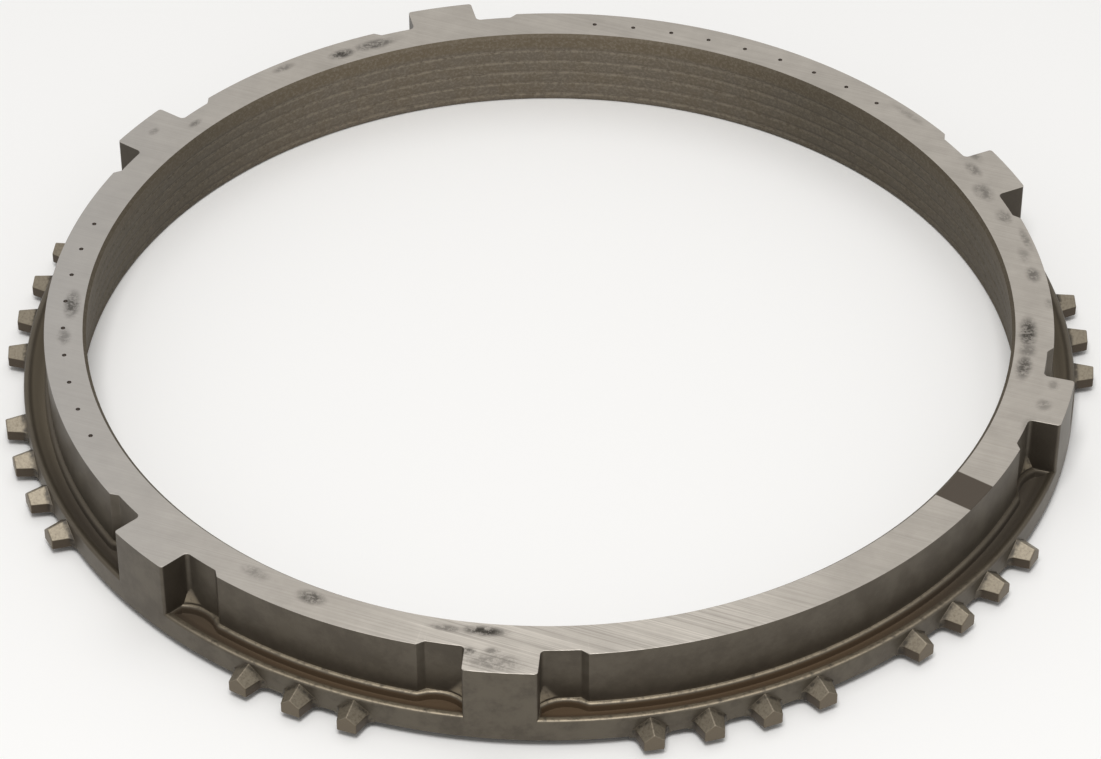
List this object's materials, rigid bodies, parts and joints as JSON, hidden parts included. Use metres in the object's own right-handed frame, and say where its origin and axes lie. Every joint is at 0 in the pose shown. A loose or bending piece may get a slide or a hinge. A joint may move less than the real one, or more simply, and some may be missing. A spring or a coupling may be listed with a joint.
{
  "type": "synchronizer ring",
  "caption": "Steel gearbox synchronizer ring with a grooved inner friction cone, a ground face, index lugs beside relief pockets and groups of roof-pointed teeth on its flange.",
  "frame": {"origin": "on the ring's axis, in the plane of the large end of the cone, on which the ring rests", "axes": "+Z along the ring's axis, up through the ground face; +X through the middle of one pair of lugs"},
  "size_m": [0.1996, 0.1992, 0.0171],
  "materials": {
    "ring_steel": "satin, ground on the top face and dark from oil and heat treatment elsewhere"
  },
  "bodies": {
    "root": {"synchronizer_ring": "ring_steel"}
  },
  "joints": []
}
